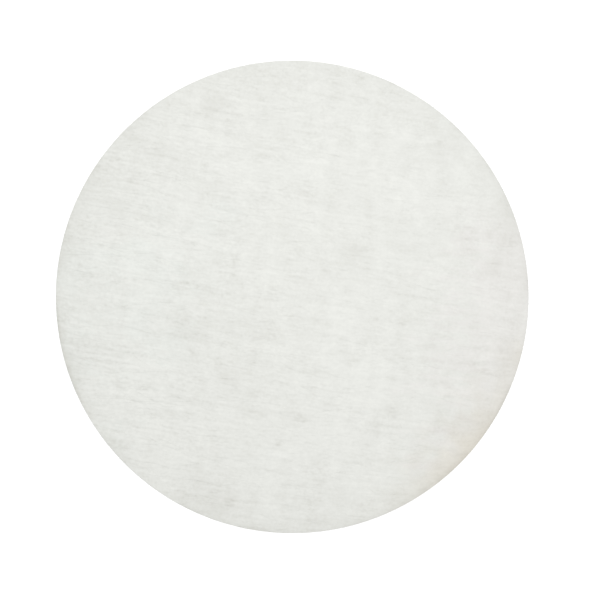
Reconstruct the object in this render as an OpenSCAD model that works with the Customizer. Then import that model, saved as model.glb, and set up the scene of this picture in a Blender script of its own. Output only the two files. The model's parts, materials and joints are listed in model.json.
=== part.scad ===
// Filter paper disc: one flat round sheet, die-cut from a web of long fibres.
// The origin is the centre of the underside. +Z points up through the sheet, and the
// fibres run roughly along +X.

/* [Sheet] */
// Diameter of the disc
disc_d = 110; // [20:1:300]
// Thickness of the web, away from the rim
thickness = 0.42; // [0.3:0.01:2]

/* [Cut rim] */
// Width of the band at the rim that the cutting die rolled down
roll_w = 1.2; // [0.5:0.1:3]
// How far the rolled band has dropped where it reaches the rim
roll_drop = 0.12; // [0.02:0.01:0.12]
// Radius of the upper edge, between the rolled band and the cut wall
upper_edge_r = 0.08; // [0.02:0.01:0.1]
// Radius of the lower edge, between the cut wall and the underside
lower_edge_r = 0.04; // [0.01:0.01:0.05]

/* [Hidden] */
$fn = 180;

disc_r = disc_d / 2;

// The rolled band is an arc that leaves the flat top face level, roll_w inside the rim
roll_start_r = disc_r - roll_w;
roll_r = (roll_w * roll_w + roll_drop * roll_drop) / (2 * roll_drop);
roll_centre = [roll_start_r, thickness - roll_r];

// The upper edge is an arc that touches both the rolled band and the cut wall
upper_edge_x = disc_r - upper_edge_r;
upper_edge_reach = roll_r - upper_edge_r;
upper_edge_rise = sqrt(pow(upper_edge_reach, 2) - pow(upper_edge_x - roll_start_r, 2));
upper_edge_centre = [upper_edge_x, roll_centre.y + upper_edge_rise];
upper_edge_angle = atan2(upper_edge_rise, upper_edge_x - roll_start_r);

lower_edge_centre = [disc_r - lower_edge_r, lower_edge_r];

// How far a cutting shape runs past the surface that it cuts
past = 0.05;

// What an arc of radius r leaves to be trimmed from a corner, between two directions
// that are less than half a turn apart
module corner_trim(centre, r, from_angle, to_angle) {
    reach = r + past;
    apex = reach / cos((to_angle - from_angle) / 2);
    mid_angle = (from_angle + to_angle) / 2;
    translate(centre)
        difference() {
            polygon([
                [0, 0],
                reach * [cos(from_angle), sin(from_angle)],
                apex * [cos(mid_angle), sin(mid_angle)],
                reach * [cos(to_angle), sin(to_angle)]
            ]);
            circle(r = r);
        }
}

// What the rolled band leaves out above it, over the outer part of the sheet
module roll_trim() {
    difference() {
        translate([roll_start_r, thickness - 2 * roll_drop])
            square([roll_w + past, 2 * roll_drop + past]);
        translate(roll_centre)
            circle(r = roll_r);
    }
}

// Half of the section through the sheet, from its centre line to the cut wall
module half_section() {
    difference() {
        square([disc_r, thickness]);
        roll_trim();
        corner_trim(upper_edge_centre, upper_edge_r, 0, upper_edge_angle);
        corner_trim(lower_edge_centre, lower_edge_r, -90, 0);
    }
}

module filter_disc() {
    color([0.91, 0.913, 0.894])
        rotate_extrude()
            half_section();
}

filter_disc();
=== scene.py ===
"""A round filter disc, die-cut from a web of long pale fibres and laid flat on a white floor."""
import json
import math

import bpy
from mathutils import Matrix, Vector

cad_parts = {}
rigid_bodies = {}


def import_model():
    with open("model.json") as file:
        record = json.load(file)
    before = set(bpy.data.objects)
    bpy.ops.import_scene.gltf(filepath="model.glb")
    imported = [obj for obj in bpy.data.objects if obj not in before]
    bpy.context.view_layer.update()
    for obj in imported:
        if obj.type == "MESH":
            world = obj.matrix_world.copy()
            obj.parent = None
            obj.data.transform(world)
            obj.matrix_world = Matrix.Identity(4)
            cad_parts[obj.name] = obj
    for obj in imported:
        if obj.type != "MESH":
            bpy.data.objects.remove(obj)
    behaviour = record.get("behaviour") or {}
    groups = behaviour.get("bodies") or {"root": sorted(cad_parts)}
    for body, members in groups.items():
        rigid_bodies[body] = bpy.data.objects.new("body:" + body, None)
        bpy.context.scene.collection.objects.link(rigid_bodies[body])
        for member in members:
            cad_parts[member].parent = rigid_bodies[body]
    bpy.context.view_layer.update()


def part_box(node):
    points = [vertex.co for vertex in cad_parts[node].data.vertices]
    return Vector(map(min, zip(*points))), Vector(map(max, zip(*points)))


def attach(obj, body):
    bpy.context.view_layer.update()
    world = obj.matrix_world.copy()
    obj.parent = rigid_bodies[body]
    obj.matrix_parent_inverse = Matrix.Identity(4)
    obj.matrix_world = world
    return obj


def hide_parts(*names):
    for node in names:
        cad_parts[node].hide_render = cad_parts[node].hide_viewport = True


bl_info = {
    "name": "Filter paper disc",
    "version": (1, 0, 0),
    "blender": (4, 5, 0),
    "location": "View3D > Sidebar > Filter Disc",
    "description": "Builds a die-cut filter disc of pale fibres",
    "category": "Object",
}

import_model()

MM = 0.001
BODY = "root"
NODE = "filter_disc"
DISC_RADIUS, _, WEB_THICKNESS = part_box("filter_disc")[1]
PIECE_NAMES = {
    "web": "fibre_web",
    "top": "top_fibres",
    "under": "underside_fibres",
    "rim": "rim_fibre_ends",
}
BAKE_MAP = "OFBake"

# Middle and radius on the map of the top face with its rim and of the underside, and the
# disc's radius on the maps of the fibres
TOP_MAP, UNDER_MAP, FIBRE_MAP = (0.37, 0.365), (0.79, 0.2), 0.49

# How fast the fibres turn, in radians to a millimetre along them and across them
FAN_ALONG, FAN_ACROSS = 0.0009, -0.0006

# The layers of the web's pattern: length along the fibres and width across them, in
# millimetres, strength in the tone, and how much weaker each gets for every millimetre towards
# the right. Each is read from the noise at a level of its own.
FIRST_LEVEL, LEVEL_STEP = 1.37, 2.6
LAYERS = {
    "specks": (0.6, 0.6, 0.037, 0.003),
    "dashes": (1.5, 0.6, 0.030, 0.007),
    "fibres": (10.0, 0.6, 0.018, 0.015),
    "tufts": (2.5, 1.0, 0.014, -0.003),
    "bundles": (6.0, 1.0, 0.020, 0.002),
    "bands": (24.0, 1.7, 0.018, -0.003),
    "flocks": (2.8, 2.8, 0.021, -0.004),
    "ribs": (2.4, 4.7, 0.013, -0.004),
    "clouds": (4.0, 8.0, 0.026, -0.004),
    "banks": (20.0, 8.0, 0.016, 0.0),
    "columns": (5.0, 14.0, 0.008, 0.0),
    "fields": (24.0, 24.0, 0.019, 0.0),
}

# How uneven the pattern is over small and large areas, how much deeper dark places are than
# light ones are high, and how much the dashes break up the marks
UNEVEN_SMALL, UNEVEN_LARGE, DARK_DEPTH, BROKEN_MARKS = 0.5, 0.4, 2.5, 2.5
# How far the edges of the patches and marks wander, and of the rim's stretches in degrees and
# depth
PATCH_WANDER, MARK_WANDER, ROUND_WANDER, DEPTH_WANDER = 2.0, 0.8, 2.0, 0.15

# The rim's painted shade, where the rolled band slopes away from the lamp: how fast its broad
# and its narrow part fade inwards, the narrow one's share, and how the shade changes from the
# bottom to the top
BROAD_FADE, NARROW_FADE, NARROW_SHARE = -0.55, -2.5, 0.5
SHADE_LEAN = (1.4, -0.007, -0.00023)
# The cut edge itself is thin, and lets a little more light through
THIN_FADE, THIN_LIGHT = -8, 0.04

# The plies on the cut wall: width and height of their noise and how deep they reach in, in
# millimetres, and how much they show in the tone and in the fine relief
PLY_WIDTH, PLY_HEIGHT, PLY_DEPTH = 0.4, 0.035, (0.06, 0.02)
PLY_TONE, PLY_RELIEF = 0.06, 1.2
# Length, width and level of the streaks of the fine relief, and the share of the short ones
LONG_STREAKS, SHORT_STREAKS, SHORT_SHARE = (3.4, 0.36, 1.0), (0.5, 0.36, 1.5), 0.6
# A darker place is a little warmer: it loses this share less of its red and more of its blue
RED_KEPT, BLUE_LOST = 0.04, 0.1
ROUGHNESS, SPECULAR = 0.95, 0.2

# Mesh rows round the lower edge, on the cut wall, round the upper edge and over the rolled band
LOWER_ROWS, WALL_ROWS, EDGE_ROWS, ROLL_ROWS = 2, 2, 3, 5
# Relief of the faces: the heights where it starts and is full, the shares of single fibres and
# of the underside, and the underside's streaks
RELIEF_START, RELIEF_FULL = 0.04 * MM, 0.3 * MM
FIBRE_SHARE, UNDER_SHARE, UNDER_STREAKS = 0.7, 0.5, (3.4, 0.7, 12.0)
# How wide the sheet's waves are, in millimetres, and how far their noise is raised
SWELL_SIZE, SWELL_BASE = 60, 0.45
# How deep the cut is ragged, and in steps of what size
RAGGED_DEPTH, RAGGED_STEP = 0.1 * MM, 0.25 * MM

# The darker, lighter and short fibres of a face: the end of the piece's name, how far they
# stray from the main direction, and their shade next to the web
FIBRE_LAYERS = (
    ("_a", 0.18, 0.87),
    ("_b", 0.30, 1.12),
    ("_c", 1.0, 1.0),
)
# Points on a fibre, and the shares of the mean that its half length and its girth go between
TOP_BENDS, UNDER_BENDS, SHORT_BENDS = 12, 10, 6
HALF_LENGTHS, GIRTHS = (0.25, 0.75), (0.6, 1.3)
# How far inside the rim fibres are cut, crimp fully and have free ends that sink in
FIBRE_INSET, FULL_CRIMP, FREE_ENDS = 0.05 * MM, 3 * MM, 0.8 * MM
# Waves of the crimp and of the rise along a fibre, in millimetres, the share of the finer
# crimp, and how far apart the noise of two fibres lies
CRIMP_WAVE, FINE_WAVE, FINE_SHARE, RISE_WAVE, FIBRE_STEP = 5, 1.6, 0.25, 2.5, 3.7
# Free ends: how sharply they set in, and how far they sink and taper; and how far the middle
# of a fibre stays off the floor, all as shares of the thickness
END_POWER, END_SINK, END_TAPER, FLOOR_SHARE = 6, 0.6, 0.5, 0.7
# The right of the sheet is smoother: its fibres lie deeper by this share for every millimetre
DEEPER = 0.006

# Cut ends: how deep they are rooted, how far under the top face they stand out, their pitch
# in radians, their girth, and the points on each
RIM_ROOT, RIM_HEIGHTS = 0.25 * MM, (0.05 * MM, 0.24 * MM)
RIM_PITCH, RIM_GIRTHS, RIM_BENDS = 0.15, (0.4, 1.0), 3
TOP_SEEDS, UNDER_SEEDS, RIM_SEED = (10, 20, 30), (40, 60, 70), 50

# The patches and marks of this sheet, in millimetres and degrees. The last number in a row says
# how much darker (negative) or lighter the middle is.
# Soft patches: east, north, half width, half height
PATCHES = (
    (-17, 44.5, 4, 1.5, -0.055),
    (-31, 33, 7, 3, -0.022),
    (-47, 24, 4, 3, -0.030),
    (-49, 14, 3, 3, -0.050),
    (-27, -8, 5, 3, -0.030),
    (-16, -18, 5, 3, -0.020),
    (-6, -9, 4, 3, -0.030),
    (-21, -41, 4, 4, -0.045),
    (-17, -48, 6, 3, -0.030),
    (5, -53, 6, 2.5, -0.030),
    (24, -46, 4, 4, -0.030),
    (39, -30, 7, 3, -0.050),
    (46, -18, 4, 2, -0.030),
    (50, -12, 3, 3, -0.035),
    (27, -6, 3, 3, -0.022),
    (39, -5, 4, 5, -0.018),
    (48, 7.5, 4, 2.5, -0.028),
    (51, 19, 3, 4, -0.040),
    (14, 9, 6, 4, -0.018),
    (35, 34, 5, 5, -0.045),
    (30, -41, 5, 5, -0.020),
    (-46, 3, 5, 6, -0.018),
    (30, 11, 4, 4, -0.015),
    (40, -14, 5, 5, -0.012),
    (12, -37, 6, 6, 0.016),
    (-28, 41, 5, 3, -0.015),
    (-18, -43, 6, 4, -0.012),
    (14, 46, 5, 8, 0.018),
    (-10, 22, 5, 5, 0.020),
    (-15, 11, 7, 5, 0.016),
    (6, 33, 8, 6, 0.026),
    (27, 22, 6, 4, 0.018),
    (40, 32, 4, 2, 0.020),
    (14, -25, 4, 5, 0.016),
    (24, -14, 8, 4, 0.016),
    (16, -45, 4, 4, 0.025),
    (-22, 38, 5, 3, 0.020),
    (-38, 8, 8, 5, 0.018),
    (-26, 3, 3, 1.5, 0.022),
    (-32, -15, 5, 3, 0.018),
    (-31, -43, 4, 3, 0.025),
)

# Single streaks and spots: east, north, half length, half width, lean
MARKS = (
    (-33.2, 18.4, 8.5, 0.5, -15.5, -0.035),
    (-28.5, 15.3, 9, 0.7, -15, 0.024),
    (-30, 32.8, 5, 0.7, -14, -0.038),
    (-19.6, 26.2, 4.2, 0.45, -13, -0.030),
    (-12, 2.7, 1.1, 1.0, 0, -0.052),
    (-42, 3, 2.5, 0.7, -8, -0.036),
    (-28, -27, 5, 0.8, -6, -0.022),
    (-23, -13, 1.5, 0.7, -30, -0.080),
    (-15, -19, 3, 1.0, -5, -0.040),
    (-41, -34, 3, 1.2, -20, -0.070),
    (-9.5, -27, 3, 0.6, -8, -0.060),
    (-3.5, -34.5, 1.5, 0.9, 0, -0.070),
    (-15, -48, 1.8, 1.2, 0, -0.080),
    (2, -28.5, 1.2, 0.8, 0, -0.070),
    (6.5, 22, 2.2, 1.2, -5, -0.026),
    (12, 10.5, 2.5, 1.0, -5, -0.026),
    (12.5, 1.2, 1.2, 0.6, 0, -0.060),
    (23, -26, 1.3, 1.1, 0, -0.055),
    (26.5, -6, 1.4, 0.8, 0, -0.060),
    (34.5, 36, 1.4, 0.9, 0, -0.048),
    (35, -20, 1.6, 0.7, 0, -0.026),
    (35.3, -9.3, 5, 0.5, -14, -0.032),
    (40.5, -16, 7, 0.6, -14, -0.028),
    (44.8, -17.4, 1.5, 0.7, -5, -0.045),
    (47.5, 8, 3, 0.8, -8, -0.032),
)

# Darker and lighter stretches of the rim, which deepen or ease its painted shade and the brown
# tint at the lower right: degrees round from the bottom towards the right, depth, half width in
# degrees, half depth
RIM_STRETCHES = (
    (-162, 1, 4, 2, -0.04),
    (-84, 0.2, 3, 0.4, -0.09),
    (-70, 0.3, 6, 0.6, -0.08),
    (-70, 1.2, 6, 1.5, -0.035),
    (-40, 0.2, 9, 0.6, 0.06),
    (-12, 0.4, 6, 0.5, -0.045),
    (5, 0.6, 5, 1, 0.03),
    (35, 0.5, 7, 0.7, -0.055),
    (60, 0.2, 8, 0.4, -0.065),
    (90, 0.3, 8, 1, 0.035),
    (150, 0.5, 5, 2, 0.03),
)

# Painted cool light over the left of the sheet: its broad side and its patches, as east,
# north, half width and half height, and how strong each kind is
COOL_SIDE, COOL_SIDE_STRENGTH, COOL_STRENGTH = (-38, 2, 21, 22), 0.35, 0.7
COOL_PATCHES = (
    (-35, 10, 5, 5),
    (-29, 3, 5, 4),
    (-36, -6, 4, 5),
    (-29, -11, 4, 5),
    (-53, 4, 4, 6),
    (-52, -11, 3, 6),
    (-18, 18, 4, 3),
    (-45, 9, 6, 4),
    (-46, -18, 3, 4),
    (-42, -34, 4, 5),
)
# Painted warm reflected light over the right of the sheet: from where to where it grows,
# towards the right and from the top down, and how much its left edge leans
WARM_EAST, WARM_NORTH, WARM_LEAN = (30, 47), (26, 10), -0.12
# How far clouds and streaks push the tints' edges about, and the cool patches' share of it
EDGE_CLOUDS, EDGE_STREAKS, PATCH_SHARE = 14, 12, 0.4

# The browner, darker part of the rim at the lower right, given like the patches, and how far in
# the brown reaches
BROWN_PATCHES = (
    (41, -36, 16, 17, 0.68),
    (54, -14, 4, 4, 0.25),
)
BROWN_DEPTH = (3.5, 8.5)

# The lamp, the floor with the gap under the disc and the glow that keeps it white, and the
# camera's place over the disc
LAMP_PLACE, LAMP_WIDTH = (0.014, 0.05, 0.24), 0.1
FLOOR_RADIUS, FLOOR_GAP, FLOOR_GLOW = 1.5, 0.02 * MM, 0.38
EYE_EAST, EYE_NORTH, SENSOR_WIDTH = 1.808 * MM, -0.744 * MM, 36.0


# ---- sizes and colours


class WebSizes(bpy.types.PropertyGroup):
    """Sizes of the web that the disc is cut from."""

    roll_width: bpy.props.FloatProperty(
        name="Rolled band",
        description="Width of the band that the cutting die rolled down",
        default=1.2 * MM,
        unit="LENGTH",
    )
    roll_drop: bpy.props.FloatProperty(
        name="Roll drop",
        description="How far the band has dropped where it reaches the rim",
        default=0.12 * MM,
        unit="LENGTH",
    )
    upper_edge: bpy.props.FloatProperty(
        name="Upper edge radius",
        description="Radius between the rolled band and the cut wall",
        default=0.08 * MM,
        unit="LENGTH",
    )
    lower_edge: bpy.props.FloatProperty(
        name="Lower edge radius",
        description="Radius between the cut wall and the underside",
        default=0.04 * MM,
        unit="LENGTH",
    )
    relief: bpy.props.FloatProperty(
        name="Bundle relief",
        description="How far bundles of fibres stand out of the faces",
        default=0.03 * MM,
        unit="LENGTH",
    )
    fine_relief: bpy.props.FloatProperty(
        name="Fine relief",
        description="How far the finest fibres seem to stand out",
        default=0.015 * MM,
        unit="LENGTH",
    )
    clouds: bpy.props.FloatProperty(
        name="Cloud relief",
        description="How far thick and thin clouds of the web differ in height",
        default=0.05 * MM,
        unit="LENGTH",
    )
    wave: bpy.props.FloatProperty(
        name="Wave",
        description="How far the resting sheet lifts off the floor at the most",
        default=0.12 * MM,
        unit="LENGTH",
    )
    ragged: bpy.props.FloatProperty(
        name="Ragged cut",
        description="How far the cut wall wanders in and out",
        default=0.03 * MM,
        unit="LENGTH",
    )
    cells_along: bpy.props.IntProperty(
        name="Cells along the fibres",
        description="Mesh cells across the disc, along the fibres",
        default=96,
    )
    cells_across: bpy.props.IntProperty(
        name="Cells across the fibres",
        description="Mesh cells across the disc, square to the fibres",
        default=380,
    )


class FibreSizes(bpy.types.PropertyGroup):
    """Sizes of the loose fibres on the faces and at the rim."""

    direction: bpy.props.FloatProperty(
        name="Direction",
        description="Direction of most fibres, from +X",
        default=math.radians(-9),
        subtype="ANGLE",
    )
    thickness: bpy.props.FloatProperty(
        name="Thickness",
        description="Diameter of one fibre strand",
        default=0.04 * MM,
        unit="LENGTH",
    )
    long_length: bpy.props.FloatProperty(
        name="Long fibres",
        description="Mean length of the long fibres",
        default=15 * MM,
        unit="LENGTH",
    )
    short_length: bpy.props.FloatProperty(
        name="Short fibres",
        description="Mean length of the short fibres",
        default=6 * MM,
        unit="LENGTH",
    )
    crimp: bpy.props.FloatProperty(
        name="Crimp",
        description="How far a fibre wanders to the side",
        default=0.5 * MM,
        unit="LENGTH",
    )
    lift: bpy.props.FloatProperty(
        name="Lift",
        description="How far a fibre rises and sinks",
        default=0.016 * MM,
        unit="LENGTH",
    )
    sink: bpy.props.FloatProperty(
        name="Sink",
        description="How far the middle of a fibre lies inside the web",
        default=0.013 * MM,
        unit="LENGTH",
    )
    stand_out: bpy.props.FloatProperty(
        name="Stand out",
        description="How far the longest cut ends stand out of the rim",
        default=0.18 * MM,
        unit="LENGTH",
    )
    long_count: bpy.props.IntProperty(
        name="Long fibre count",
        description="Long fibres in each layer of the top face",
        default=1400,
    )
    short_count: bpy.props.IntProperty(
        name="Short fibre count",
        description="Short fibres on the top face",
        default=5000,
    )
    under_count: bpy.props.IntProperty(
        name="Underside fibre count",
        description="Long fibres in each layer of the underside, with twice as many short ones",
        default=1200,
    )
    rim_count: bpy.props.IntProperty(
        name="Rim fibre count",
        description="Cut fibre ends round the rim",
        default=10000,
    )


class WebColours(bpy.types.PropertyGroup):
    """Colours of the web."""

    web: bpy.props.FloatVectorProperty(
        name="Web",
        description="Pale, slightly warm white of the clean web",
        default=(0.835, 0.842, 0.803),
        subtype="COLOR",
    )
    # Painted warm reflected light over the right of the sheet
    warm: bpy.props.FloatVectorProperty(
        name="Warm side",
        description="Slightly pinker white at the right of the sheet",
        default=(0.841, 0.835, 0.804),
        subtype="COLOR",
    )
    # Painted cool light over the left of the sheet
    cool: bpy.props.FloatVectorProperty(
        name="Cool side",
        description="Slightly greener white at the left of the sheet",
        default=(0.829, 0.845, 0.806),
        subtype="COLOR",
    )
    # A browner, darker tint towards the lower-right rim
    brown_tint: bpy.props.FloatVectorProperty(
        name="Stain",
        description="Brown tint of the soiled rim at the lower right",
        default=(0.76, 0.72, 0.622),
        subtype="COLOR",
    )
    # Painted shade: the rolled rim is darker where it slopes away from the lamp
    painted_rim_shade: bpy.props.FloatProperty(
        name="Rim shade",
        description="How much darker the handled rim is than the middle",
        default=0.045,
    )
    grain: bpy.props.FloatProperty(
        name="Grain",
        description="Strength of the streaks",
        default=1.0,
    )


class StageLook(bpy.types.PropertyGroup):
    """Floor, light and camera."""

    floor_white: bpy.props.FloatVectorProperty(
        name="Floor",
        description="Colour of the floor",
        default=(0.9, 0.9, 0.9),
        subtype="COLOR",
    )
    ambient: bpy.props.FloatProperty(
        name="Ambient light",
        description="Strength of the even light from all round",
        default=0.70,
    )
    key: bpy.props.FloatProperty(
        name="Key light",
        description="Share of the light that the lamp gives",
        default=0.30,
    )
    lens: bpy.props.FloatProperty(
        name="Lens",
        description="Focal length of the camera, in millimetres",
        default=100.0,
    )
    view_width: bpy.props.FloatProperty(
        name="View width",
        description="Width that the camera sees at the disc",
        default=139.60 * MM,
        unit="LENGTH",
    )


# ---- node trees in Python


class Link:
    """A node's output, used in Python expressions that add the nodes they need."""

    def __init__(self, tree, socket):
        self.tree = tree
        self.socket = socket

    def maths(self, operation, *others):
        values = [self, *others]
        if any(isinstance(v, Link) and v.socket.type == "VECTOR" for v in values):
            return self.vector_maths(operation, *others)
        return self.tree.node("ShaderNodeMath", dict(enumerate(values)), operation=operation)

    def vector_maths(self, operation, *others, output="Vector"):
        values = [v if isinstance(v, (Link, tuple)) else (v, v, v) for v in (self, *others)]
        sockets = dict(enumerate(values))
        return self.tree.node("ShaderNodeVectorMath", sockets, output, operation=operation)

    def __add__(self, other):
        return self.maths("ADD", other)

    __radd__ = __add__

    def __mul__(self, other):
        return self.maths("MULTIPLY", other)

    __rmul__ = __mul__

    def __sub__(self, other):
        return self.maths("SUBTRACT", other)

    def __rsub__(self, other):
        return self * -1 + other

    def __truediv__(self, other):
        return self.maths("DIVIDE", other)

    def __rtruediv__(self, other):
        return self.tree.node("ShaderNodeMath", {0: other, 1: self}, operation="DIVIDE")

    def __pow__(self, other):
        return self.maths("POWER", other)

    def __rpow__(self, other):
        return self.tree.node("ShaderNodeMath", {0: other, 1: self}, operation="POWER")

    def __neg__(self):
        return self * -1


class Tree:
    """A node tree that is built by expressions."""

    def __init__(self, tree):
        self.tree = tree

    def node(self, kind, sockets=None, output=None, **settings):
        """Adds a node: its settings first, then the values or links of its sockets."""
        made = self.tree.nodes.new(kind)
        for name, value in settings.items():
            setattr(made, name, value)
        for name, value in (sockets or {}).items():
            socket = made.inputs[name] if isinstance(name, int) else open_socket(made.inputs, name)
            if isinstance(value, Link):
                self.tree.links.new(value.socket, socket)
            else:
                socket.default_value = value
        if not made.outputs:
            return made
        return Link(self, open_socket(made.outputs, output))

    def input(self, name, kind="Float"):
        """Adds a named input to a geometry tree, and returns its link."""
        self.tree.interface.new_socket(name, in_out="INPUT", socket_type="NodeSocket" + kind)
        return Link(self, self.tree.nodes["Group Input"].outputs[name])

    def xyz(self, x, y, z=0.0):
        return self.node("ShaderNodeCombineXYZ", {"X": x, "Y": y, "Z": z})

    def parts(self, vector):
        made = self.node("ShaderNodeSeparateXYZ", {"Vector": vector})
        return [Link(self, s) for s in made.socket.node.outputs]

    def noise(self, place, output="Fac"):
        """Smooth noise with a mean of 0, one bump to a unit of place."""
        sockets = {"Vector": place, "Scale": 1.0, "Detail": 0.0}
        return self.node("ShaderNodeTexNoise", sockets, output, normalize=False)

    def mix(self, factor, first, second, blend="MIX"):
        """A colour between two, or the second blended over the first."""
        sockets = {"Factor": factor, "A": first, "B": second}
        return self.node("ShaderNodeMix", sockets, "Result", data_type="RGBA", blend_type=blend)

    def ramp(self, value, low, high, start=0.0, end=1.0):
        """Goes smoothly from start to end as value goes from low to high."""
        limits = {"From Min": low, "From Max": high, "To Min": start, "To Max": end}
        sockets = {"Value": value, **limits}
        return self.node("ShaderNodeMapRange", sockets, interpolation_type="SMOOTHSTEP")


def open_socket(sockets, name):
    """The socket of that identifier, or the first enabled one of that name, or just the first."""
    if name is None:
        return next(s for s in sockets if s.enabled)
    by_identifier = [s for s in sockets if s.identifier == name and s.enabled]
    return (by_identifier or [s for s in sockets if s.name == name and s.enabled])[0]


# ---- the pattern of the web


def turned(x, y, angle):
    """The place x, y turned about the middle of the disc."""
    cos, sin = math.cos(angle), math.sin(angle)
    return x * cos - y * sin, x * sin + y * cos


class WebPlace:
    """Where a place is on the web, in millimetres, and the noises that show there."""

    def __init__(self, tree, place, direction):
        self.tree = tree
        x, y, _ = tree.parts(place)
        self.east, self.north = x / MM, y / MM
        self.along, across = turned(self.east, self.north, -direction)
        # The fibres fan out a little: steeper at the left and the top, flatter at the right
        bow = self.along * (self.along * (FAN_ALONG / 2) + across * FAN_ACROSS)
        drift, crimp = self.blotches(5.0, 24), self.blotches(5.5, 4, 2) * 0.25
        self.across = across - bow + drift + crimp

    def blotches(self, level, width, height=None):
        """Noise in soft blotches of that size; each use of it has a level of its own."""
        place = self.tree.xyz(self.east / width, self.north / (height or width), level)
        return self.tree.noise(place)

    def streaks(self, length, width, level):
        """Noise drawn out along the fibres, in streaks of that length and width."""
        return self.tree.noise(self.tree.xyz(self.along / length, self.across / width, level))

    def layer(self, name):
        """One layer of the web's pattern, the same wherever it is used."""
        length, width, _, _ = LAYERS[name]
        return self.streaks(length, width, FIRST_LEVEL + LEVEL_STEP * list(LAYERS).index(name))

    def rim_depth(self):
        """How far inside the rim the place is."""
        return DISC_RADIUS / MM - (self.east * self.east + self.north * self.north) ** 0.5


def oval(place, x, y, half_width, half_height, lean=0.0):
    """A soft oval, 1 in its middle, that leans by degrees. The place has a 1 as its third part."""
    turn = math.radians(lean)
    cos, sin = math.cos(turn) / half_width, math.sin(turn) / half_width
    right = place.vector_maths("DOT_PRODUCT", (cos, sin, -x * cos - y * sin), output="Value")
    cos, sin = math.cos(turn) / half_height, math.sin(turn) / half_height
    up = place.vector_maths("DOT_PRODUCT", (-sin, cos, x * sin - y * cos), output="Value")
    spread = up.maths("MULTIPLY_ADD", up, right * right)
    return math.exp(-1) ** spread


def add_ovals(tone, place, spots):
    """The tone with soft ovals added to it, each as strong as its last number says."""
    for *spot, strength in spots:
        tone = oval(place, *spot).maths("MULTIPLY_ADD", strength, tone)
    return tone


# ---- finish


def web_tone(web, colours):
    """How light the web is at a place, about 1: streaks, mottle, clouds, patches and the rim with
    its painted shade.
    """
    tree, east, north = web.tree, web.east, web.north
    grain = 0.0
    for name, (*_, strength, weaker) in LAYERS.items():
        lightness = web.layer(name) * strength
        if weaker:
            lightness = lightness * (1 - east * weaker).maths("MAXIMUM", 0.0)
        grain = lightness + grain
    # The pattern is stronger in some places than in others
    uneven = web.blotches(21.0, 1.2) * UNEVEN_SMALL + web.blotches(22.0, 9) * UNEVEN_LARGE
    grain = grain * (uneven + 1) * colours.grain
    grain = grain - grain * grain * DARK_DEPTH

    wander = tree.noise(tree.xyz(east / 3, north / 3, 9.0), output="Color")
    stray_x, stray_y, _ = tree.parts(wander)
    near = tree.xyz(east + stray_x * PATCH_WANDER, north + stray_y * PATCH_WANDER, 1.0)
    grain = add_ovals(grain, near, PATCHES)
    near = tree.xyz(east + stray_y * MARK_WANDER, north + stray_x * MARK_WANDER, 1.0)
    broken = web.layer("dashes") * BROKEN_MARKS + 1
    grain = grain + add_ovals(0.0, near, MARKS) * broken

    depth = web.rim_depth()
    # Half a turn either way from the bottom, so that the join is at the top
    round_rim = east.maths("ARCTAN2", -north) * math.degrees(1.0)
    near = tree.xyz(round_rim + stray_x * ROUND_WANDER, depth + stray_y * DEPTH_WANDER, 1.0)
    # Darker and lighter stretches deepen or ease the painted shade of the rim
    grain = add_ovals(grain, near, RIM_STRETCHES)
    # Painted shade of the rolled rim where it slopes away from the lamp: a broad and a narrow
    # part, patchy, and least at the top
    narrow = (depth * NARROW_FADE).maths("EXPONENT") * NARROW_SHARE
    fade = (depth * BROAD_FADE).maths("EXPONENT") + narrow
    patchy = web.blotches(10.0, 7) + 1
    middle, slope, bow = SHADE_LEAN
    lean = north * slope + middle + north * north * bow
    thin = (depth * THIN_FADE).maths("EXPONENT") * THIN_LIGHT
    return grain + 1 + thin - fade * patchy * lean * colours.painted_rim_shade


def web_tint(web, colours):
    """Colour of the clean web with painted warm and cool light on its sides and its browner rim at
    the lower right.
    """
    tree, east, north = web.tree, web.east, web.north
    ragged = web.blotches(11.0, 9, 6) * EDGE_CLOUDS + web.streaks(5.0, 1.5, 13.0) * EDGE_STREAKS
    # Painted coloured light: a warm reflection over the right and a cool cast over the left
    warm_light = tree.ramp(north * WARM_LEAN + east + ragged, *WARM_EAST)
    warm_light = warm_light * tree.ramp(north, *WARM_NORTH)
    cool_light = oval(tree.xyz(east + ragged, north + ragged, 1.0), *COOL_SIDE)
    near = tree.xyz(east + ragged * PATCH_SHARE, north + ragged * PATCH_SHARE, 1.0)
    cool_patches = [(*spot, COOL_STRENGTH) for spot in COOL_PATCHES]
    cool_light = add_ovals(cool_light * COOL_SIDE_STRENGTH, near, cool_patches)
    tint = tree.mix(warm_light, (*colours.web, 1.0), (*colours.warm, 1.0))
    tint = tree.mix(cool_light.maths("MINIMUM", 1.0), tint, (*colours.cool, 1.0))
    # The rim turns browner and darker towards the lower right
    depth = web.rim_depth().maths("MAXIMUM", 0.0)
    spread = tree.ramp(web.blotches(12.0, 4), -0.6, 0.6, *BROWN_DEPTH)
    brown_reach = (-((depth / spread) ** 1.5)).maths("EXPONENT")
    browner = add_ovals(0.0, tree.xyz(east, north, 1.0), BROWN_PATCHES)
    return tree.mix(brown_reach * browner, tint, (*colours.brown_tint, 1.0))


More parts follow.
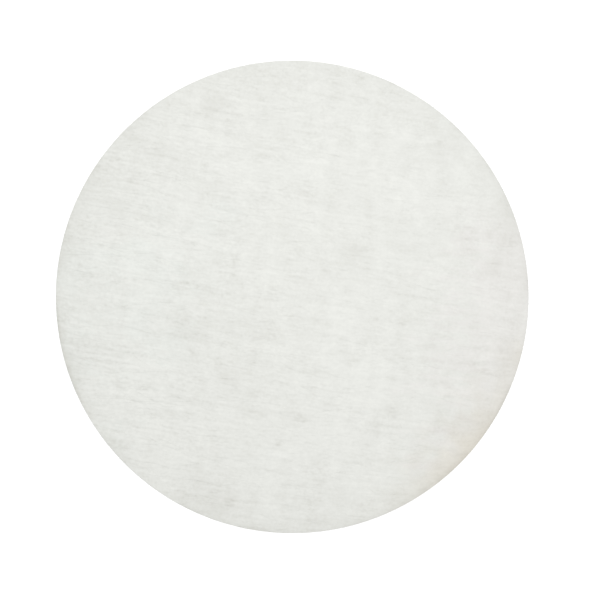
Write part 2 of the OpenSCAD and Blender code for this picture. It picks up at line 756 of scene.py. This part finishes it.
def web_pattern(colours, direction):
    """The colour and the fine relief of the web at every place, which all finishes share."""
    group = bpy.data.node_groups.get("web_pattern")
    if group:
        return group
    group = bpy.data.node_groups.new("web_pattern", "ShaderNodeTree")
    group.interface.new_socket("Colour", in_out="OUTPUT", socket_type="NodeSocketColor")
    group.interface.new_socket("Raised", in_out="OUTPUT", socket_type="NodeSocketFloat")
    tree = Tree(group)
    place = tree.node("ShaderNodeTexCoord", output="Object")
    web = WebPlace(tree, place, direction)
    # The cut wall shows the plies that the web was laid down in
    height = tree.parts(place)[2] / MM
    plies = web.blotches(height / PLY_HEIGHT, PLY_WIDTH) * tree.ramp(web.rim_depth(), *PLY_DEPTH)
    tone = web_tone(web, colours) + plies * PLY_TONE
    darker = (tone - 1).maths("MINIMUM", 0.0)
    red, blue = tone - darker * RED_KEPT, tone + darker * BLUE_LOST
    grey = tree.node("ShaderNodeCombineColor", {"Red": red, "Green": tone, "Blue": blue})
    colour = tree.mix(1.0, web_tint(web, colours), grey, "MULTIPLY")
    raised = web.streaks(*LONG_STREAKS) + web.streaks(*SHORT_STREAKS) * SHORT_SHARE
    raised = raised + plies * PLY_RELIEF
    done = group.nodes.new("NodeGroupOutput")
    group.links.new(colour.socket, done.inputs["Colour"])
    group.links.new(raised.socket, done.inputs["Raised"])
    return group


def build_finish(name, scene, shade=1.0, bump_height=0.0):
    """The matte, faintly streaked white of the web, made lighter or darker by shade."""
    material = bpy.data.materials.new(name)
    material.use_nodes = True
    tree = Tree(material.node_tree)
    links = material.node_tree.links
    shader = material.node_tree.nodes["Principled BSDF"]
    pattern = web_pattern(scene.filter_colours, scene.filter_fibres.direction)
    colour = tree.node("ShaderNodeGroup", output="Colour", node_tree=pattern)
    shaded = colour
    if shade != 1.0:
        shaded = tree.mix(1.0, colour, (shade, shade, shade, 1.0), "MULTIPLY")
    links.new(shaded.socket, shader.inputs["Base Color"])
    shader.inputs["Roughness"].default_value = ROUGHNESS
    shader.inputs["Specular IOR Level"].default_value = SPECULAR
    if bump_height:
        raised = Link(tree, colour.socket.node.outputs["Raised"])
        sockets = {"Strength": 1.0, "Distance": bump_height, "Height": raised}
        bump = tree.node("ShaderNodeBump", sockets)
        links.new(bump.socket, shader.inputs["Normal"])
    return material


# ---- making pieces


def add_object(name, data):
    """Adds an object with that mesh, lamp or camera to the scene."""
    made = bpy.data.objects.new(name, data)
    bpy.context.scene.collection.objects.link(made)
    return made


def apply_tree(name, group, values):
    """Runs a geometry tree once and keeps its result as a plain mesh at the origin."""
    holder = add_object(name + "_maker", bpy.data.meshes.new(name + "_maker"))
    modifier = holder.modifiers.new("maker", "NODES")
    modifier.node_group = group
    for socket in group.interface.items_tree:
        if socket.in_out == "INPUT":
            modifier[socket.identifier] = values[socket.name]
    graph = bpy.context.evaluated_depsgraph_get()
    mesh = bpy.data.meshes.new_from_object(holder.evaluated_get(graph), depsgraph=graph)
    bpy.data.objects.remove(holder)
    bpy.data.node_groups.remove(group)
    mesh.name = name
    if not mesh.polygons:
        raise RuntimeError(f"{name} came out empty")
    piece = add_object(name, mesh)
    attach(piece, BODY)
    return piece


def arc(x, y, radius, start, end, steps):
    """Points on an arc about the point x, y, from one angle to the other."""
    turns = [start + (end - start) * step / steps for step in range(steps + 1)]
    return [(x + radius * math.cos(turn), y + radius * math.sin(turn)) for turn in turns]


def section_rows(sizes):
    """Radius and height of the rows of the section, from the underside to the flat top."""
    radius, top = DISC_RADIUS, WEB_THICKNESS
    lower, upper = sizes.lower_edge, sizes.upper_edge
    roll_start = radius - sizes.roll_width
    roll_radius = (sizes.roll_width**2 + sizes.roll_drop**2) / (2 * sizes.roll_drop)
    run = radius - upper - roll_start
    rise = math.sqrt((roll_radius - upper) ** 2 - run**2)
    wall_top = top - roll_radius + rise
    roll_end = math.atan2(rise, run)
    wall = [
        (radius, lower + (wall_top - lower) * step / (WALL_ROWS + 1))
        for step in range(1, WALL_ROWS + 1)
    ]
    return [
        *arc(radius - lower, lower, lower, -math.pi / 2, 0.0, LOWER_ROWS),
        *wall,
        *arc(radius - upper, wall_top, upper, 0.0, roll_end, EDGE_ROWS),
        *arc(roll_start, top - roll_radius, roll_radius, roll_end, math.pi / 2, ROLL_ROWS)[1:],
    ]


def section_object(rows):
    """The rows as points: x is the radius, y the radius when rolled out flat, z the height."""
    flat = [rows[-1][0]]
    for one, other in zip(rows[:0:-1], rows[-2::-1]):
        flat.append(flat[-1] + math.dist(one, other))
    mesh = bpy.data.meshes.new("section")
    mesh.from_pydata([(r, y, z) for (r, z), y in zip(rows, reversed(flat))], [], [])
    return add_object("section", mesh), flat[-1]


def new_group(name):
    group = bpy.data.node_groups.new(name, "GeometryNodeTree")
    group.interface.new_socket("Geometry", in_out="OUTPUT", socket_type="NodeSocketGeometry")
    group.nodes.new("NodeGroupInput")
    return group, Tree(group)


def finish_group(group, tree, geometry, material):
    """Ends a tree in plain smooth geometry with its material."""
    smooth = tree.node("GeometryNodeSetShadeSmooth", {"Geometry": geometry})
    solid = tree.node("GeometryNodeRealizeInstances", {"Geometry": smooth})
    done = tree.node("GeometryNodeSetMaterial", {"Geometry": solid, "Material": material})
    group.links.new(done.socket, group.nodes.new("NodeGroupOutput").inputs[0])


def store_map(tree, geometry, flat_place):
    """Keeps flat_place, from 0 to 1 each way, as the map that the finish is baked through."""
    sockets = {"Geometry": geometry, "Name": BAKE_MAP, "Value": flat_place}
    kind = "GeometryNodeStoreNamedAttribute"
    return tree.node(kind, sockets, data_type="FLOAT2", domain="CORNER")


def web_tree(direction, row_count, flat_radius):
    """A box's shell, bent into the disc: its top and bottom are the faces, its sides the rim."""
    group, tree = new_group("web")
    section = tree.input("Section", "Object")
    cells_along = tree.input("Cells along", "Int")
    cells_across = tree.input("Cells across", "Int")
    relief = tree.input("Relief")
    clouds = tree.input("Clouds")
    wave = tree.input("Wave")
    ragged = tree.input("Ragged")
    material = tree.input("Material", "Material")

    box = tree.node(
        "GeometryNodeMeshCube",
        {
            "Size": (2.0, 2.0, 2.0),
            "Vertices X": cells_along + 1,
            "Vertices Y": cells_across + 1,
            "Vertices Z": row_count,
        },
    )
    position = tree.node("GeometryNodeInputPosition")
    u, v, w = tree.parts(position)
    row = (w + 1) / 2 * (row_count - 1)
    row = tree.node("FunctionNodeFloatToInt", {"Float": row}, rounding_mode="ROUND")
    outline = tree.node("GeometryNodeObjectInfo", {"Object": section}, "Geometry")
    point = tree.node(
        "GeometryNodeSampleIndex",
        {"Geometry": outline, "Value": position, "Index": row},
        data_type="FLOAT_VECTOR",
        domain="POINT",
    )
    radius, unrolled, height = tree.parts(point)
    # A square grid goes onto a round disc with its rows still running along the fibres
    flat_x = u * (1 - v * v / 2) ** 0.5
    flat_y = v * (1 - u * u / 2) ** 0.5
    turn_x, turn_y = turned(flat_x, flat_y, direction)

    # The map: the top face with the rim round it, and the underside, mirrored, in the corner
    facing = tree.node(
        "GeometryNodeFieldOnDomain",
        {"Value": tree.node("GeometryNodeInputNormal")},
        domain="FACE",
        data_type="FLOAT_VECTOR",
    )
    below = tree.parts(facing)[2].maths("LESS_THAN", -0.5)
    spread = unrolled * (TOP_MAP[1] / flat_radius)
    top_spot = tree.xyz(turn_x * spread + TOP_MAP[0], turn_y * spread + TOP_MAP[0])
    middle, size = UNDER_MAP
    under_spot = tree.xyz(middle - turn_x * size, turn_y * size + middle)
    mapped = store_map(tree, box, top_spot * (1 - below) + under_spot * below)
    smooth = tree.xyz(turn_x * radius, turn_y * radius, height)
    bent = tree.node("GeometryNodeSetPosition", {"Geometry": mapped, "Position": smooth})

    # Relief on both faces, fading out down the cut wall
    place = tree.node("GeometryNodeInputPosition")
    x, y, z = tree.parts(place)
    web = WebPlace(tree, place, direction)
    upper = tree.ramp(z, RELIEF_START, RELIEF_FULL)
    lower = tree.ramp(z, RELIEF_START, 0.0)
    out = (x * x + y * y) ** 0.5
    bundles = web.layer("bundles") + web.layer("fibres") * FIBRE_SHARE
    top_relief = bundles * relief + web.layer("clouds") * clouds
    under_bundles = (web.streaks(*UNDER_STREAKS) + 1).maths("MAXIMUM", 0.0)
    under_relief = under_bundles * relief * UNDER_SHARE
    swell = (web.blotches(3.0, SWELL_SIZE) + SWELL_BASE).maths("MAXIMUM", 0.0) * wave
    rise = upper * top_relief + lower * under_relief + swell
    cut = (1 - lower) * tree.ramp(out, DISC_RADIUS - RAGGED_DEPTH, DISC_RADIUS) * ragged
    tear = tree.noise(place / RAGGED_STEP) * cut / DISC_RADIUS
    offset = tree.xyz(x * tear, y * tear, rise)
    shaped = tree.node("GeometryNodeSetPosition", {"Geometry": bent, "Offset": offset})
    finish_group(group, tree, shaped, material)
    return group


class FILTERDISC_OT_web(bpy.types.Operator):
    """Builds the web of the disc as one closed shell"""

    bl_idname = "filterdisc.web"
    bl_label = "Fibre web"

    def execute(self, context):
        scene = context.scene
        sizes = scene.filter_web
        rows = section_rows(sizes)
        section, flat_radius = section_object(rows)
        values = {
            "Section": section,
            "Cells along": sizes.cells_along,
            "Cells across": sizes.cells_across,
            "Relief": sizes.relief,
            "Clouds": sizes.clouds,
            "Wave": sizes.wave,
            "Ragged": sizes.ragged,
            "Material": build_finish("filter_web", scene, bump_height=sizes.fine_relief),
        }
        group = web_tree(scene.filter_fibres.direction, len(rows), flat_radius)
        web = apply_tree(PIECE_NAMES["web"], group, values)
        bpy.data.objects.remove(section)
        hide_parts(NODE)
        return {"FINISHED"}


# ---- loose fibres


def fibre_inputs(tree):
    """The inputs that both trees of fibres share, and their source of random numbers."""
    web = tree.input("Web", "Object")
    count = tree.input("Count", "Int")
    thickness = tree.input("Thickness")
    seed = tree.input("Seed", "Int")
    material = tree.input("Material", "Material")

    def random(low, high, salt, owner=None):
        sockets = {"Min": low, "Max": high, "Seed": seed + salt}
        if owner is not None:
            sockets["ID"] = owner
        return tree.node("FunctionNodeRandomValue", sockets, data_type="FLOAT")

    return web, count, thickness, material, random


def web_height(tree, web, x, y, side):
    """Height of the web's top face, or of its underside where side is -1."""
    target = tree.node("GeometryNodeObjectInfo", {"Object": web}, "Geometry")
    sockets = {
        "Target Geometry": target,
        "Source Position": tree.xyz(x, y, 5 * MM * side),
        "Ray Direction": (0.0, 0.0, -side),
        "Ray Length": 20 * MM,
    }
    return tree.parts(tree.node("GeometryNodeRaycast", sockets, "Hit Position"))[2]


def place_strands(tree, count, spot, line, points, turn, length):
    """Sets lines of that many points on the spots, each turned and drawn out to its length."""
    sockets = {
        "Points": tree.node("GeometryNodePoints", {"Count": count, "Position": spot}),
        "Instance": tree.node("GeometryNodeResampleCurve", {"Curve": line, "Count": points}),
        "Rotation": tree.node("FunctionNodeEulerToRotation", {"Euler": turn}),
        "Scale": tree.xyz(length, 1.0, 1.0),
    }
    laid = tree.node("GeometryNodeInstanceOnPoints", sockets)
    return tree.node("GeometryNodeRealizeInstances", {"Geometry": laid})


def draw_strands(group, tree, curves, girth, material):
    """Gives the curves a three-sided body with closed ends, and the map for their finish."""
    ring = tree.node("GeometryNodeCurvePrimitiveCircle", {"Resolution": 3, "Radius": 1.0})
    tubes = tree.node(
        "GeometryNodeCurveToMesh",
        {"Curve": curves, "Profile Curve": ring, "Scale": girth, "Fill Caps": True},
    )
    spot = tree.node("GeometryNodeInputPosition") * (FIBRE_MAP / DISC_RADIUS) + 0.5
    finish_group(group, tree, store_map(tree, tubes, spot), material)


def fibre_tree(direction, side):
    """Loose fibres scattered over one face, each cut where it crosses the rim."""
    group, tree = new_group("fibres")
    web, count, thickness, material, random = fibre_inputs(tree)
    length = tree.input("Length")
    spread = tree.input("Spread")
    crimp = tree.input("Crimp")
    lift = tree.input("Lift")
    sink = tree.input("Sink")
    bends = tree.input("Bends", "Int")

    # Where each fibre lies: its middle, its angle and the part of it inside the rim
    reach = DISC_RADIUS - FIBRE_INSET
    bearing = random(0.0, 2 * math.pi, 1)
    distance = random(0.0, 1.0, 2) ** 0.5 * reach
    middle_x = distance * bearing.maths("COSINE")
    middle_y = distance * bearing.maths("SINE")
    stray = random(-1.0, 1.0, 3) + random(-1.0, 1.0, 4) + random(-1.0, 1.0, 5)
    along, across = turned(middle_x, middle_y, -direction)
    fan = along / MM * FAN_ALONG + across / MM * FAN_ACROSS
    angle = stray * spread + fan + direction
    cos, sin = angle.maths("COSINE"), angle.maths("SINE")
    half = length * random(*HALF_LENGTHS, 6)
    passed = middle_x * cos + middle_y * sin
    to_rim = (passed * passed - distance * distance + reach * reach) ** 0.5
    low = (-half).maths("MAXIMUM", -passed - to_rim)
    high = half.maths("MINIMUM", to_rim - passed)
    centre = (low + high) / 2
    spot = tree.xyz(middle_x + cos * centre, middle_y + sin * centre)
    tips = {"Start": (-0.5, 0.0, 0.0), "End": (0.5, 0.0, 0.0)}
    line = tree.node("GeometryNodeCurvePrimitiveLine", tips)
    turn = tree.xyz(0.0, 0.0, angle)
    strands = place_strands(tree, count, spot, line, bends, turn, high - low)

    # Crimp to the side, less near the rim, where a strand has to end at the cut
    fibre = tree.node(
        "GeometryNodeFieldOnDomain",
        {"Value": tree.node("GeometryNodeInputIndex")},
        domain="CURVE",
        data_type="INT",
    )
    own = fibre * FIBRE_STEP
    run = tree.node("GeometryNodeSplineParameter", output="Length") / MM
    x, y, _ = tree.parts(tree.node("GeometryNodeInputPosition"))
    inside = tree.ramp((x * x + y * y) ** 0.5, reach, reach - FULL_CRIMP)
    fine = tree.noise(tree.xyz(run / FINE_WAVE, own, 2.0)) * crimp * FINE_SHARE
    side_step = tree.noise(tree.xyz(run / CRIMP_WAVE, own, 1.0)) * crimp + fine
    side_step = side_step * inside
    bent_x = x - side_step * math.sin(direction)
    bent_y = y + side_step * math.cos(direction)
    out = (bent_x * bent_x + bent_y * bent_y) ** 0.5
    hold = (reach / out).maths("MINIMUM", 1.0)
    place = tree.xyz(bent_x * hold, bent_y * hold)
    crimped = tree.node("GeometryNodeSetPosition", {"Geometry": strands, "Position": place})

    # Lie on the web, rising and sinking, with the free ends sunk in
    x, y, _ = tree.parts(tree.node("GeometryNodeInputPosition"))
    part = tree.node("GeometryNodeSplineParameter", output="Factor")
    ends = tree.ramp((x * x + y * y) ** 0.5, reach, reach - FREE_ENDS)
    ends = (part * 2 - 1) ** END_POWER * ends
    rise = tree.noise(tree.xyz(run / RISE_WAVE, own, 7.0)) * lift
    deep = sink * (1 + x / MM * DEEPER)
    rise = rise + random(-0.5, 0.5, 9, fibre) * lift - deep - ends * thickness * END_SINK
    height = web_height(tree, web, x, y, side) + rise * side
    if side < 0:
        height = height.maths("MAXIMUM", thickness * FLOOR_SHARE)
    place = tree.xyz(x, y, height)
    resting = tree.node("GeometryNodeSetPosition", {"Geometry": crimped, "Position": place})
    girth = thickness / 2 * random(*GIRTHS, 8, fibre) * (1 - ends * END_TAPER)
    draw_strands(group, tree, resting, girth, material)
    return group


def lay_fibres(context, name, side, long_count, short_count, long_bends, seeds):
    """Lays the darker, the lighter and the short fibres of one face, one piece to each."""
    fibres = context.scene.filter_fibres
    long = long_count, fibres.long_length, long_bends
    short = short_count, fibres.short_length, SHORT_BENDS
    for (end, spread, shade), kind, seed in zip(FIBRE_LAYERS, (long, long, short), seeds):
        count, length, bends = kind
        values = {
            "Web": bpy.data.objects[PIECE_NAMES["web"]],
            "Count": count,
            "Length": length,
            "Thickness": fibres.thickness,
            "Spread": spread,
            "Crimp": fibres.crimp,
            "Lift": fibres.lift,
            "Sink": fibres.sink,
            "Bends": bends,
            "Seed": seed,
            "Material": fibre_finish(context, shade),
        }
        apply_tree(name + end, fibre_tree(fibres.direction, side), values)


def fibre_finish(context, shade=1.0):
    """The finish of loose fibres of one shade, which is made once."""
    name = "loose_fibre"
    if shade != 1.0:
        name = "dark_fibre" if shade < 1.0 else "light_fibre"
    return bpy.data.materials.get(name) or build_finish(name, context.scene, shade)


class FILTERDISC_OT_top_fibres(bpy.types.Operator):
    """Lays the long and the short fibres over the top face"""

    bl_idname = "filterdisc.top_fibres"
    bl_label = "Top fibres"

    def execute(self, context):
        fibres = context.scene.filter_fibres
        counts = fibres.long_count, fibres.short_count
        lay_fibres(context, PIECE_NAMES["top"], 1, *counts, TOP_BENDS, TOP_SEEDS)
        return {"FINISHED"}


class FILTERDISC_OT_under_fibres(bpy.types.Operator):
    """Lays fibres over the underside"""

    bl_idname = "filterdisc.under_fibres"
    bl_label = "Underside fibres"

    def execute(self, context):
        count = context.scene.filter_fibres.under_count
        lay_fibres(context, PIECE_NAMES["under"], -1, count, count * 2, UNDER_BENDS, UNDER_SEEDS)
        return {"FINISHED"}


def rim_tree(direction):
    """Short cut ends of fibres that stand a little out of the cut wall."""
    group, tree = new_group("rim")
    web, count, thickness, material, random = fibre_inputs(tree)
    stand = tree.input("Stand out")

    bearing = random(0.0, 2 * math.pi, 1)
    out_x, out_y = bearing.maths("COSINE"), bearing.maths("SINE")
    lean = (random(-1.0, 1.0, 2) + random(-1.0, 1.0, 3)) * 0.5 + direction
    outward = (lean.maths("COSINE") * out_x + lean.maths("SINE") * out_y).maths("SIGN")
    along_x, along_y = lean.maths("COSINE") * outward, lean.maths("SINE") * outward
    inner = DISC_RADIUS - FIBRE_INSET
    wall_top = web_height(tree, web, out_x * inner, out_y * inner, 1)
    height = wall_top - random(*RIM_HEIGHTS, 4)
    length = random(0.0, 1.0, 5) ** 2 * stand + RIM_ROOT
    spot = tree.xyz(out_x * inner - along_x * RIM_ROOT, out_y * inner - along_y * RIM_ROOT, height)
    line = tree.node("GeometryNodeCurvePrimitiveLine", {"End": (1.0, 0.0, 0.0)})
    heading = along_y.maths("ARCTAN2", along_x)
    turn = tree.xyz(0.0, random(-RIM_PITCH, RIM_PITCH, 6), heading)
    strands = place_strands(tree, count, spot, line, RIM_BENDS, turn, length)
    draw_strands(group, tree, strands, thickness / 2 * random(*RIM_GIRTHS, 7), material)
    return group


class FILTERDISC_OT_rim_fibres(bpy.types.Operator):
    """Sets the cut ends of fibres round the rim"""

    bl_idname = "filterdisc.rim_fibres"
    bl_label = "Rim fibre ends"

    def execute(self, context):
        fibres = context.scene.filter_fibres
        values = {
            "Web": bpy.data.objects[PIECE_NAMES["web"]],
            "Count": fibres.rim_count,
            "Thickness": fibres.thickness,
            "Stand out": fibres.stand_out,
            "Seed": RIM_SEED,
            "Material": fibre_finish(context),
        }
        apply_tree(PIECE_NAMES["rim"], rim_tree(fibres.direction), values)
        return {"FINISHED"}


# ---- stage


def build_floor_finish(look):
    material = bpy.data.materials.new("floor_white")
    material.use_nodes = True
    nodes = material.node_tree.nodes
    nodes.remove(nodes["Principled BSDF"])
    tree = Tree(material.node_tree)
    seen = tree.node("ShaderNodeLightPath", output="Is Camera Ray")
    matte = tree.node("ShaderNodeBsdfDiffuse", {"Color": (*look.floor_white, 1.0)})
    glow = tree.node("ShaderNodeEmission", {"Strength": seen * FLOOR_GLOW})
    both = tree.node("ShaderNodeAddShader", {0: matte, 1: glow})
    material.node_tree.links.new(both.socket, nodes["Material Output"].inputs["Surface"])
    return material


def build_world(look):
    world = bpy.data.worlds.new("studio")
    world.use_nodes = True
    tree = Tree(world.node_tree)
    back = world.node_tree.nodes["Background"]
    rays = [
        tree.node("ShaderNodeLightPath", output=name)
        for name in ("Is Camera Ray", "Is Glossy Ray", "Is Transmission Ray")
    ]
    seen = rays[0].maths("MAXIMUM", rays[1]).maths("MAXIMUM", rays[2])
    strength = seen * (1 - look.ambient) + look.ambient
    world.node_tree.links.new(strength.socket, back.inputs["Strength"])
    back.inputs["Color"].default_value = (1.0, 1.0, 1.0, 1.0)
    bpy.context.scene.world = world


class FILTERDISC_OT_stage(bpy.types.Operator):
    """Sets the floor, the even light, the key lamp and the camera"""

    bl_idname = "filterdisc.stage"
    bl_label = "Stage"

    def execute(self, context):
        scene = context.scene
        look = scene.filter_stage
        bpy.ops.mesh.primitive_circle_add(
            vertices=96, radius=FLOOR_RADIUS, fill_type="NGON", location=(0.0, 0.0, -FLOOR_GAP)
        )
        floor = context.object
        floor.name = "floor"
        floor.data.materials.append(build_floor_finish(look))
        build_world(look)

        distance = math.hypot(*LAMP_PLACE)
        lamp = bpy.data.lights.new("key", "AREA")
        lamp.shape = "DISK"
        lamp.size = LAMP_WIDTH
        lamp.energy = look.key * math.pi**2 * distance**2 / (LAMP_PLACE[2] / distance)
        key = add_object("key", lamp)
        key.location = LAMP_PLACE
        key.rotation_euler = (-key.location).to_track_quat("-Z", "Y").to_euler()

        camera = bpy.data.cameras.new("camera")
        camera.lens = look.lens
        camera.sensor_width = SENSOR_WIDTH
        eye = add_object("camera", camera)
        height = look.view_width * look.lens / SENSOR_WIDTH
        eye.location = (EYE_EAST, EYE_NORTH, WEB_THICKNESS + height)
        scene.camera = eye
        scene.view_settings.view_transform = "Standard"
        return {"FINISHED"}


class FILTERDISC_PT_panel(bpy.types.Panel):
    """Lists the steps that build the disc"""

    bl_idname = "FILTERDISC_PT_panel"
    bl_label = "Filter Disc"
    bl_space_type = "VIEW_3D"
    bl_region_type = "UI"
    bl_category = "Filter Disc"

    def draw(self, context):
        layout = self.layout
        for kind in OPERATORS:
            layout.operator(kind.bl_idname)


GROUPS = {
    "filter_web": WebSizes,
    "filter_fibres": FibreSizes,
    "filter_colours": WebColours,
    "filter_stage": StageLook,
}
OPERATORS = (
    FILTERDISC_OT_web,
    FILTERDISC_OT_top_fibres,
    FILTERDISC_OT_under_fibres,
    FILTERDISC_OT_rim_fibres,
    FILTERDISC_OT_stage,
)


def register():
    for kind in (*GROUPS.values(), *OPERATORS, FILTERDISC_PT_panel):
        bpy.utils.register_class(kind)
    for name, kind in GROUPS.items():
        setattr(bpy.types.Scene, name, bpy.props.PointerProperty(type=kind))


def unregister():
    for name in GROUPS:
        delattr(bpy.types.Scene, name)
    for kind in (FILTERDISC_PT_panel, *reversed(OPERATORS), *reversed(GROUPS.values())):
        bpy.utils.unregister_class(kind)


def main():
    register()
    bpy.ops.filterdisc.web()
    bpy.ops.filterdisc.top_fibres()
    bpy.ops.filterdisc.under_fibres()
    bpy.ops.filterdisc.rim_fibres()
    bpy.ops.filterdisc.stage()


if __name__ == "__main__":
    main()
